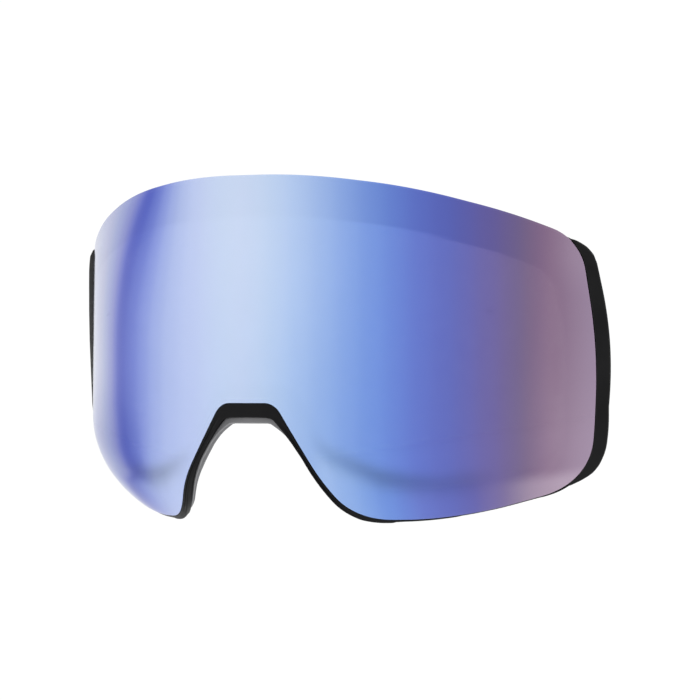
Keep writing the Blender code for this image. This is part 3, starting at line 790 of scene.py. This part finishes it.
def smooth_step(value, start, end):
    """A share that grows smoothly from 0 at the start to 1 at the end, which may be the lower of the two."""
    share = np.clip((value - start) / (end - start), 0.0, 1.0)
    return share * share * (3.0 - 2.0 * share)


def outside_view(flat):
    """How far each point of the lens is outside the clear view, in mm, less than nothing inside it."""
    along = np.gradient(HALF_VIEW, axis=0)
    normal = np.stack((-along[:, 1], along[:, 0]), axis=1) / np.linalg.norm(along, axis=1)[:, None]
    on_right = np.stack((np.abs(flat[:, 0]), flat[:, 1]), axis=1)
    away = on_right[:, None] - HALF_VIEW
    nearest = np.argmin(np.sum(away ** 2, axis=2), axis=1)
    return np.sum(away[np.arange(len(flat)), nearest] * normal[nearest], axis=1)


def coating_marks(flat):
    """The marks of the coating at each point of a loop on the lens: its place on the sweep of colour and its
    painted reflection, and how much painted shade and the margin darken it, painted reflection pales it, a
    painted highlight brightens it and its gloss turns lilac."""
    u, v = flat.T
    # The crease's painted dark reflection
    crease_u, crease_v, crease_dark = np.array(CREASE).T
    above = v - np.interp(u, crease_u, crease_v)
    width = np.where(above > 0.0, CREASE_ABOVE, CREASE_BELOW)
    dark = np.interp(u, crease_u, crease_dark) * np.exp(-0.5 * (above / width) ** 2)
    roll = smooth_step(above, *ROLL_FADE) * smooth_step(np.abs(u), *ROLL_SIDES)
    lean = LEAN * (np.clip(v, 0.0, None) / LEAN_TOP) ** 2 * smooth_step(u, *LEAN_FADE)
    foot = np.interp(v, *zip(*FOOT_SHIFT)) * smooth_step(u, *FOOT_FADE) * (1.0 - roll)
    place = u - lean - foot + np.interp(u, *zip(*ROLL_SHIFT)) * roll
    # Painted shade in the lower left corner
    corner = smooth_step(u, *CORNER_U) * smooth_step(v, *CORNER_V)
    outside = smooth_step(outside_view(flat), -VIEW_BLUR, VIEW_BLUR)
    # Painted reflection of the floor on the roll, and painted reflection at the right temple
    pale = np.interp(u, *zip(*ROLL_REFLECTION_PALE)) * roll
    shares = {"above_roll": 1.0 - roll, "clear_view": 1.0 - outside, "anywhere": 1.0}
    for amount, where, u_fade, v_fade in TEMPLE_REFLECTION_PALE:
        pale += amount * smooth_step(u, *u_fade) * smooth_step(v, *v_fade) * shares[where]
    return {
        "sweep": np.clip(sweep_share(place), 0.0, 1.0),
        "crease": CREASE_STRENGTH * dark,
        "shade": 1.0 - CORNER_SHADE * corner,
        "margin": np.interp(u, *zip(*MARGIN)) * smooth_step(v, *MARGIN_FADE) * outside,
        "pale": pale,
        "lilac": CORNER_LILAC * corner,
        # A painted highlight up the middle
        "painted_highlight": MIDDLE_HIGHLIGHT * np.exp(-0.5 * ((u - MIDDLE_HIGHLIGHT_U) / MIDDLE_HIGHLIGHT_BREADTH) ** 2) * smooth_step(v, *MIDDLE_HIGHLIGHT_V),
    }


def make_sheet(name, share, depths, bevel, rings, bands):
    """A lens cut to a share of the glue band, with rounded edges, as rings that close onto its spine.  Its
    materials are counted in bands: front, back and rim."""
    half = HALF_EDGE - HALF_OUTWARD * (HALF_BAND * share)[:, None]
    middle = 0.5 * (half[:, 0] + half[::-1, 0]) * SPINE_REACH
    spine = mirrored(np.stack((middle, np.full(len(half), SPINE_V)), axis=1))
    edge, outward = mirrored(half), mirrored(HALF_OUTWARD)
    inner = edge - outward * bevel
    shares = np.linspace(1.0, 0.0, rings)
    angles = np.linspace(0.0, math.pi / 2, ARC_STEPS)
    chain = [(inner + (spine - inner) * t, depths[0]) for t in shares]
    for start, rise, arc in ((depths[0], bevel, angles[1:]), (depths[1], -bevel, angles[::-1])):
        for angle in arc:
            rim = edge - outward * bevel * (1.0 - math.sin(angle))
            chain.append((rim, start + rise * (1.0 - math.cos(angle))))
    chain += [(inner + (spine - inner) * t, depths[1]) for t in shares[::-1][1:]]
    marks = [coating_marks(flat) for flat, _ in chain]
    rim_bands = len(chain) - 1 - 2 * (rings - 1)
    picks = [bands[0]] * (rings - 1) + [bands[2]] * rim_bands + [bands[1]] * (rings - 1)
    loops = [wrap(flat, depth) for flat, depth in chain]
    values = {mark: [m[mark] for m in marks] for mark in marks[0]}
    return skin(name, loops, tube=False, bands=picks, marks=values)


def make_lenses():
    """The mirror lens and the clear panel behind it."""
    mesh = make_sheet("mirror_lens", 0.0, LENS, LENS_BEVEL, LENS_RINGS, (0, 1, 2))
    settle("mirror_lens", mesh, ("mirror", "rear_tint", "mirror_edge"), "outer_lens")
    mesh = make_sheet("clear_panel", INNER_LENS_EDGE, INNER_LENS, PANEL_BEVEL, PANEL_RINGS, (0, 0, 1))
    settle("clear_panel", mesh, ("clear", "clear_edge"), "inner_lens")


# -------- rings, wings and lip

def make_rings():
    """The tape and the foam between the lenses."""
    edge, outward, band = mirrored(HALF_EDGE), mirrored(HALF_OUTWARD), mirrored(HALF_BAND)
    for name, node, slot, span, depths, easing, material in (
        ("bond_tape", "lens_bond_tape", "bond_tape", TAPE_SPAN, TAPE, 0.15, "tape"),
        ("foam_gasket", "spacer_gasket", "foam", GASKET_SPAN, GASKET, 0.7, "foam"),
    ):
        outer, inner = (-band * share for share in span)
        corners = [(outer, depths[0], easing), (outer, depths[1], easing),
                   (inner, depths[1], easing), (inner, depths[0], easing)]
        mesh = swept(name, edge, outward, corners)
        settle(name, mesh, [material], node)


def make_carrier():
    """The black ring behind the lens.  Round the nose its rim comes forward beside the lens's edge, with a
    fine groove down each flank, and is stepped behind for the nose lip."""
    reach = value_along(RIM_REACH)
    rise = np.clip((reach - EDGE_GAP) / EDGE_GAP, 0.0, 1.0)
    beside = np.minimum(EDGE_GAP, reach - LEAST_LIP)
    wall = np.minimum(EDGE_GAP + RIM_WALL, reach - LEAST_LIP)
    front = blend(CARRIER[0] - 3 * LEAST_LIP, RIM_FRONT, rise)
    step = blend(CARRIER[1] - 2 * LEAST_LIP, value_along(RIM_STEP), rise)
    groove = front + value_along(RIM_GROOVE)
    inner = -HALF_BAND * CARRIER_INNER
    reach, beside, wall, front, step, groove, inner = (
        mirrored(values) for values in (reach, beside, wall, front, step, groove, inner))
    corners = [(blend(beside, reach, share), depth, 0.0)
               for share, depth in zip(GROOVE_SHARES, (front, groove, front))]
    corners += [(reach, front, 0.3), (reach, step, 0.15), (wall, step, 0.05), (wall, CARRIER[1], 0.25),
                (inner, CARRIER[1], 0.25), (inner, CARRIER[0], 0.2), (beside, CARRIER[0], 0.1),
                (beside, front, 0.2)]
    mesh = swept("carrier_ring", mirrored(HALF_EDGE), mirrored(HALF_OUTWARD), corners)
    settle("carrier_ring", mesh, ["carrier"], "carrier_frame")


def make_nose_lip():
    """The soft grey lip in the carrier's step, which stands into the nose opening."""
    stations = corner_places() >= SEAL_START
    halves = value_along(SEAL_REACH), value_along(RIM_STEP), HALF_EDGE, HALF_OUTWARD
    outer, step, edge, outward = (mirrored(half[stations], ring=False) for half in halves)
    inner = EDGE_GAP + RIM_WALL + SEAL_GAP
    front = step + SEAL_GAP
    corners = [(outer, front, 0.35), (outer, SEAL_BACK, 0.6), (inner, SEAL_BACK, 0.3), (inner, front, 0.2)]
    mesh = swept("nose_lip", edge, outward, corners, ring=False)
    settle("nose_lip", mesh, ["lip"], "nose_seal")


def make_wing(side):
    """A temple wing: a rounded flange beside the lens's edge, the plate behind it that holds the latch,
    and ends that thin out and tuck in behind the lens."""
    places = corner_places()
    stations = (places >= WING_REACH[0][0]) & (places <= WING_REACH[-1][0])
    outer = value_along(WING_REACH)
    beside = np.minimum(EDGE_GAP, outer - RIM_WALL)
    emerged = np.clip((outer - RIM_WALL) / (EDGE_GAP + CLEARANCE), 0.0, 1.0)
    tucked = LENS[1] + CLEARANCE
    front = blend(tucked, value_along(WING_FRONT), emerged)
    flange = blend(tucked, LEAST_LIP, emerged)
    outer, beside, front, flange = (values[stations] for values in (outer, beside, front, flange))
    view = -HALF_BAND[stations]
    corners = [(beside, flange, 0.2), (outer, front, 0.6), (outer, WING_PLATE[1], 1.1),
               (view, WING_PLATE[1], 0.5), (view, WING_PLATE[0], 0.4), (beside, WING_PLATE[0], 0.3)]
    name = "temple_wing_" + side_name(side)
    mesh = swept(name, HALF_EDGE[stations], HALF_OUTWARD[stations], corners, ring=False, side=side)
    settle(name, mesh, ["wing"], "wing_" + side_name(side))


def side_name(side):
    """The end of a piece's name on one side, as seen from in front."""
    return "right" if side > 0 else "left"


# -------- magnets and filter

QUARTER_TURN = Matrix.Rotation(-math.pi / 2, 4, "X")


def make_magnets():
    """Nickel-plated discs, each in a pressed cup with a fine gap round it."""
    top = MAGNET_THICKNESS
    for label, u, v, seat, radius in MAGNETS:
        round_start = radius - CUP_ROUNDING
        bore = radius - CUP_WALL
        disc = bore - 0.18
        profile = [(0.0, 0.0), (round_start, 0.0)]
        profile += turned_corner((round_start, 0.0), (radius, 0.0), (radius, CUP_ROUNDING))
        profile += turned_corner((radius, top - CUP_ROUNDING), (radius, top), (round_start, top))
        profile += [(bore, top - 0.04), (bore - 0.05, top - 0.35), (disc + 0.02, top - 0.35)]
        profile += turned_corner((disc, top - 0.2), (disc, top), (disc - 0.22, top))
        profile += [(0.0, top)]
        for side in (1, -1):
            name = label + "_magnet_cup_" + side_name(side)
            mesh = turned(name, profile)
            mesh.transform(QUARTER_TURN)
            settle(name, mesh, ["nickel"], label + "_magnet_" + side_name(side),
                   place=seat_frame(side * u, v, seat))


def make_filter():
    """The breather disc: a woven membrane inside a raised rim."""
    rim = VENT_RADIUS - VENT_RIM
    top = VENT_THICKNESS
    profile = [(0.0, 0.0), (VENT_RADIUS, 0.0)]
    profile += turned_corner((VENT_RADIUS, top - 0.35), (VENT_RADIUS, top), (VENT_RADIUS - 0.3, top))
    profile += [(rim, top), (rim, top - 0.3), (0.0, top - 0.22)]
    bands = [1] * (len(profile) - 2) + [0]
    mesh = turned("breather_disc", profile, bands=bands)
    mesh.transform(QUARTER_TURN)
    settle("breather_disc", mesh, ("filter", "clear_edge"), "vent_filter",
           place=seat_frame(*VENT_PLACE, INNER_LENS[1] + CLEARANCE))


# -------- latches

def lever_outline():
    """The lever seen along its pin: a barrel with a grooved thumb pad on one side and a hook on the other."""
    front_angle = math.asin(ARM_FRONT / BARREL_RADIUS)
    back_angle = math.asin(ARM_BACK / BARREL_RADIUS)
    under = circle(BARREL_RADIUS, BARREL_STEPS, math.pi - front_angle, math.pi + 2 * front_angle)
    over = circle(BARREL_RADIUS, BARREL_STEPS, back_angle, math.pi - 2 * back_angle)
    pad = [(5.4, ARM_FRONT, 0.5), (5.9, -0.3, 0.3)]
    for k in range(GRIP_GROOVES):
        y = 0.7 + GRIP_PITCH * k
        x = 5.9 + 0.3 * (y + 0.3) / 6.3
        pad += [(x, y, 0.08), (x - 0.3, y + 0.16, 0.1), (x - 0.3, y + 0.32, 0.1), (x, y + 0.48, 0.08)]
    pad += [(6.2, 6.0, 0.3), (5.6, 6.6, 0.4), (4.8, 6.2, 0.3), (4.2, ARM_BACK, 1.0)]
    hook = [(-4.6, ARM_BACK, 0.8), (-4.8, 3.6, 0.4), (-3.2, 4.0, 0.25), (-3.0, 4.8, 0.25), (-5.6, 5.4, 0.5),
            (-6.4, 4.8, 0.4), (-6.4, -0.4, 0.5), (-5.8, ARM_FRONT, 0.5)]
    corners = [(x, y, 0.0) for x, y in under] + pad + [(x, y, 0.0) for x, y in over] + hook
    return np.concatenate(eased(corners, steps=4)[0])


def bracket_mesh(name):
    """A channel with a lug at each end of the pin and a screw ear beyond each lug, with its holes bored."""
    top = PIN_HEIGHT + 2.2
    half = [(EAR_END, 0.0, 0.2), (EAR_END, BRACKET_PLATE, 0.4), (LUG_OUTER, BRACKET_PLATE, 0.35),
            (LUG_OUTER, top, 0.8), (LUG_INNER, top, 0.8), (LUG_INNER, BRACKET_PLATE, 0.5)]
    corners = half + [(-x, y, radius) for x, y, radius in reversed(half)]
    outline = np.concatenate(eased(corners, steps=5)[0])
    mesh = prism(name, outline, -0.5 * BRACKET_WIDTH, 0.5 * BRACKET_WIDTH, 0.25)
    mesh.transform(Matrix(((0, 0, 1, 0), (0, 1, 0, -PIN_HEIGHT * MM), (1, 0, 0, 0), (0, 0, 0, 1))))
    mesh.flip_normals()
    bores = [rod("pin_bore", PIN_BORE, 14.0)]
    for sign in (1, -1):
        bore = rod("screw_hole", SCREW_BORE, 3.0)
        bore.transform(screw_place(sign))
        bores.append(bore)
    return tidied(cut(mesh, bores))


def rod(name, radius, reach):
    """A plain rod about z that reaches as far up as down."""
    return turned(name, [(0.0, -reach), (radius, -reach), (radius, reach), (0.0, reach)], sides=32)


def screw_place(sign):
    """The frame of the upper or lower screw in the latch's own frame, with its shank along z."""
    seat = Vector((0.0, BRACKET_PLATE - PIN_HEIGHT, sign * SCREW_PLACE)) * MM
    return Matrix.Translation(seat) @ QUARTER_TURN


def screw_mesh(name, sign):
    """A pan-head screw with a cross recess."""
    profile = [(0.0, -1.1), (0.55, -1.1), (0.75, -0.9), (0.75, 0.3), (1.42, 0.3), (1.5, 0.38)]
    profile += turned_corner((1.5, 0.7), (1.45, 1.15), (0.95, 1.24)) + [(0.45, 1.3), (0.0, 1.3)]
    recess = []
    for long_x, long_y in ((0.75, 0.17), (0.17, 0.75)):
        arm = np.array(((-long_x, -long_y), (long_x, -long_y), (long_x, long_y), (-long_x, long_y)))
        recess.append(prism("recess", arm, 0.75, 2.0, 0.02))
    mesh = tidied(cut(turned(name, profile, sides=40), recess))
    mesh.transform(screw_place(sign))
    return mesh


def spring_path():
    """A coil round the pin with a short straight leg at each end."""
    steps = SPRING_TURNS * TURN_STEPS
    coil = []
    for k in range(steps + 1):
        angle = math.tau * k / TURN_STEPS
        height = blend(SPRING_BOTTOM, SPRING_TOP, k / steps)
        coil.append((SPRING_RADIUS * math.cos(angle), SPRING_RADIUS * math.sin(angle), height))
    first_leg = [(SPRING_RADIUS, y, SPRING_BOTTOM) for y in (-3.0, -1.5, -0.5)]
    last_leg = [(SPRING_RADIUS, y, SPRING_TOP) for y in (0.5, 1.5, 2.8)]
    return first_leg + coil + last_leg


def pin_profile():
    """The pin, with rounded ends."""
    end = -LUG_OUTER - 0.5
    lower = [(0.0, end), (0.35, end)]
    lower += turned_corner((0.45, end), (PIN_RADIUS, end), (PIN_RADIUS, end + 0.3))
    return lower + [(radius, -z) for radius, z in reversed(lower)]


def make_latch(side):
    """Bracket, screws, pin, spring and lever round the pin's axis."""
    label = side_name(side)
    place = seat_frame(side * LATCH_U, LATCH_V, BRACKET_SEAT + PIN_HEIGHT)

    def fit(name, mesh, material, node, body="root"):
        """Settle a piece on this side's latch."""
        settle(name + "_" + label, mesh, [material], node + "_" + label, body, place)

    fit("bracket_channel", bracket_mesh("bracket_channel"), "bracket", "latch_bracket")
    fit("upper_screw", screw_mesh("upper_screw", 1), "steel", "latch_screw_upper")
    fit("lower_screw", screw_mesh("lower_screw", -1), "steel", "latch_screw_lower")
    fit("hinge_pin", turned("hinge_pin", pin_profile(), sides=32), "steel", "latch_pin")
    spring = mirror_mesh(tube("coil_spring", spring_path(), SPRING_WIRE), side)
    fit("coil_spring", spring, "steel", "latch_spring")
    lever = prism("thumb_lever", lever_outline(), LEVER_BOTTOM, LEVER_TOP, 0.25, PIN_BORE)
    fit("thumb_lever", mirror_mesh(lever, side), "lever", "latch_lever", "lever_" + label)


# -------- studio

# The camera is level with a point on the lens's centreline, its pivot, and aims a little right of it and
# above it, by FRAME_CENTRE in mm
CAMERA_AZIMUTH = math.radians(39.9)
CAMERA_DISTANCE = 1.5
CAMERA_LENS = 289.0
CAMERA_TARGET_V = -9.0
FRAME_CENTRE = (27.84, 8.65)
SURROUND = 1.03
FLOOR_LEVEL = -0.25
FLOOR_REACH = 12.0


def make_camera():
    """The photograph's view, from round to the right of the lens."""
    camera = add_object("camera", bpy.data.cameras.new("camera"))
    right = Vector((math.cos(CAMERA_AZIMUTH), math.sin(CAMERA_AZIMUTH), 0.0))
    back = Vector((math.sin(CAMERA_AZIMUTH), -math.cos(CAMERA_AZIMUTH), 0.0))
    pivot = Vector(ORIGIN) + Vector((0.0, 0.0, CAMERA_TARGET_V * MM))
    aim = pivot + right * FRAME_CENTRE[0] * MM + Vector((0.0, 0.0, FRAME_CENTRE[1] * MM))
    camera.location = pivot + back * CAMERA_DISTANCE
    camera.rotation_euler = (aim - camera.location).to_track_quat("-Z", "Y").to_euler()
    camera.data.lens = CAMERA_LENS
    bpy.context.scene.camera = camera


def add_softbox(name, azimuth, height, distance, size, radiance):
    """An area light at an azimuth round the lens, in degrees towards +X, facing it."""
    angle = math.radians(azimuth)
    data = bpy.data.lights.new(name, "AREA")
    data.shape = "RECTANGLE"
    data.size, data.size_y = size
    data.energy = radiance * math.pi * size[0] * size[1]
    light = add_object(name, data)
    light.location = (distance * math.sin(angle), -distance * math.cos(angle), height)
    light.rotation_euler = (-light.location).to_track_quat("-Z", "Y").to_euler()
    light.visible_camera = False


def make_studio():
    """A white room: a pale floor well below the part, an even white surround and soft boxes."""
    scene = bpy.context.scene
    world = bpy.data.worlds.new("studio")
    world.use_nodes = True
    background = world.node_tree.nodes["Background"]
    background.inputs["Color"].default_value = (1.0, 1.0, 1.0, 1.0)
    background.inputs["Strength"].default_value = SURROUND
    scene.world = world
    scene.view_settings.view_transform = "Standard"

    add_softbox("top_box", 20.0, 2.2, 0.6, (1.8, 1.8), 0.12)
    add_softbox("rear_box", 180.0, 1.4, 1.8, (1.8, 1.2), 0.2)

    mesh = bpy.data.meshes.new("floor")
    signs = ((-1, -1), (1, -1), (1, 1), (-1, 1))
    corners = [(x * FLOOR_REACH, y * FLOOR_REACH, FLOOR_LEVEL) for x, y in signs]
    mesh.from_pydata(corners, [], [(0, 1, 2, 3)])
    material = new_material("pale_floor", {"Roughness": 0.9, "Specular IOR Level": 0.1})
    shade = two_tone(material, add_noise(material, 3.0, 2.0), (254, 254, 254), (255, 255, 255))
    mesh.materials.append(dressed(material, base_color=shade))
    floor = add_object("floor", mesh)


make_camera()
make_studio()
make_lenses()
make_rings()
make_carrier()
make_nose_lip()
make_magnets()
make_filter()
for wing_side in (1, -1):
    make_wing(wing_side)
    make_latch(wing_side)
